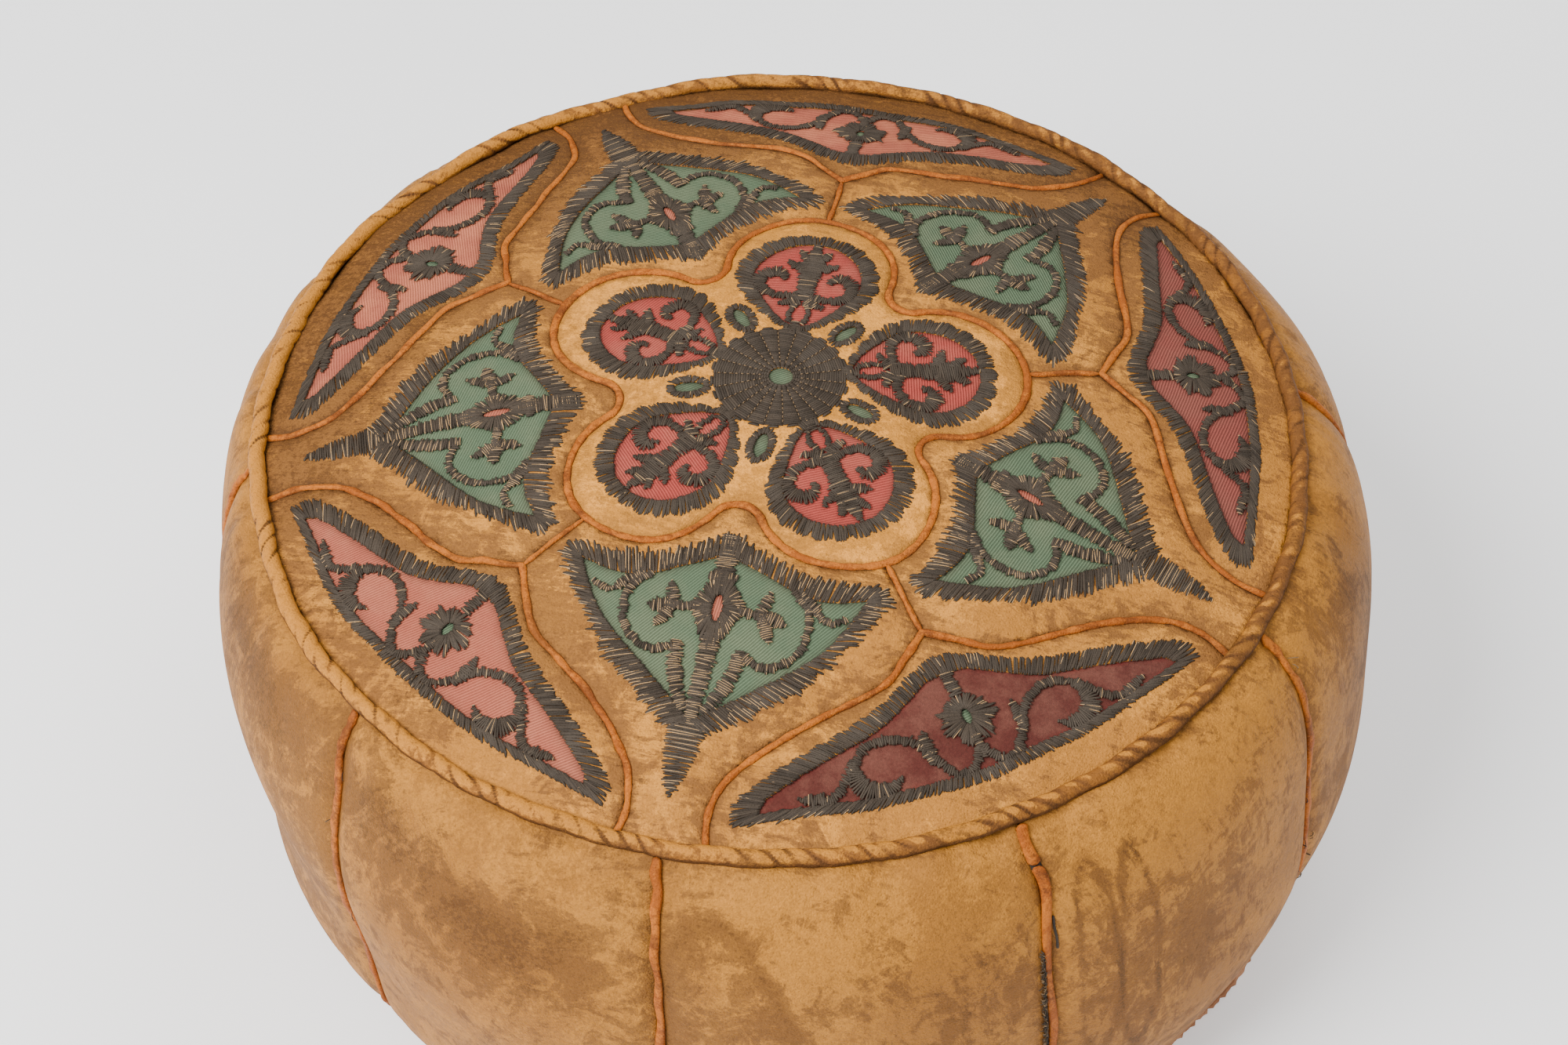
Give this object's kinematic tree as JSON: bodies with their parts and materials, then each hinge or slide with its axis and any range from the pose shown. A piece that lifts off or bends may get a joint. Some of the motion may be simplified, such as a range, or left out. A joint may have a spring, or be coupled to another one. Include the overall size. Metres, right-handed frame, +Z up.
{
  "type": "leather floor pouf",
  "caption": "Round stuffed leather floor pouf with a domed pieced top of embroidered cloth insets, a corded rim, tall side gores and a laced base.",
  "frame": {"origin": "on the floor under the middle of the base", "axes": "+Z up; -Y points along the axis of one kite-shaped panel, and the side seams stand every 36 degrees from it"},
  "size_m": [0.546, 0.55, 0.2662],
  "materials": {
    "tan_leather": "worn tan goatskin, satin, with brown patina",
    "cream_leather": "paler cream-yellow goatskin, satin",
    "piping_leather": "orange-tan dyed leather strip",
    "cord_leather": "tan leather wound over a cord, rubbed pale on its turns",
    "suede": "raw brown suede edge, matt",
    "base_leather": "plain brown leather, matt",
    "lace_thong": "narrow leather thong",
    "green_twill": "faded green cotton twill",
    "red_twill": "red cotton twill",
    "pink_twill": "faded salmon-pink cotton twill",
    "faded_red_twill": "faded red cotton twill",
    "dark_red_velvet": "dark red velvet, rubbed",
    "thread": "dark grey-brown embroidery thread with scattered straw-coloured strands",
    "cotton": "unbleached cotton lining",
    "wadding": "packed cotton waste"
  },
  "bodies": {
    "root": {"stuffing": "wadding", "cotton_lining": "cotton", "base_panel": "base_leather", "base_placket": "base_leather", "base_lace": "lace_thong", "base_welt": "suede", "side_panel_01": "tan_leather", "side_panel_02": "tan_leather", "side_panel_03": "tan_leather", "side_panel_04": "tan_leather", "side_panel_05": "tan_leather", "side_panel_06": "tan_leather", "side_panel_07": "tan_leather", "side_panel_08": "tan_leather", "side_panel_09": "tan_leather", "side_panel_10": "tan_leather", "side_piping_01": "piping_leather", "side_piping_02": "piping_leather", "side_piping_03": "piping_leather", "side_piping_04": "piping_leather", "side_piping_05": "piping_leather", "side_piping_06": "piping_leather", "side_piping_07": "piping_leather", "side_piping_08": "piping_leather", "side_piping_09": "piping_leather", "side_piping_10": "piping_leather", "rim_cord": "cord_leather", "rosette_panel": "cream_leather", "kite_panel_1": "tan_leather", "kite_panel_2": "tan_leather", "kite_panel_3": "tan_leather", "kite_panel_4": "tan_leather", "kite_panel_5": "tan_leather", "outer_panel_1": "tan_leather", "outer_panel_2": "tan_leather", "outer_panel_3": "tan_leather", "outer_panel_4": "tan_leather", "outer_panel_5": "tan_leather", "rosette_piping": "piping_leather", "spoke_piping": "piping_leather", "outer_piping_1": "piping_leather", "outer_piping_2": "piping_leather", "outer_piping_3": "piping_leather", "outer_piping_4": "piping_leather", "outer_piping_5": "piping_leather", "kite_cloths": "green_twill", "outer_cloth_1": "dark_red_velvet", "outer_cloth_2": "faded_red_twill", "outer_cloth_3": "pink_twill", "outer_cloth_4": "pink_twill", "outer_cloth_5": "pink_twill", "petal_cloths": "red_twill", "leaf_cloths": "green_twill", "flower_cloths": "green_twill", "kite_eye_cloths": "pink_twill", "kite_embroidery": "thread", "outer_embroidery": "thread", "petal_embroidery": "thread", "centre_embroidery": "thread"}
  },
  "joints": []
}
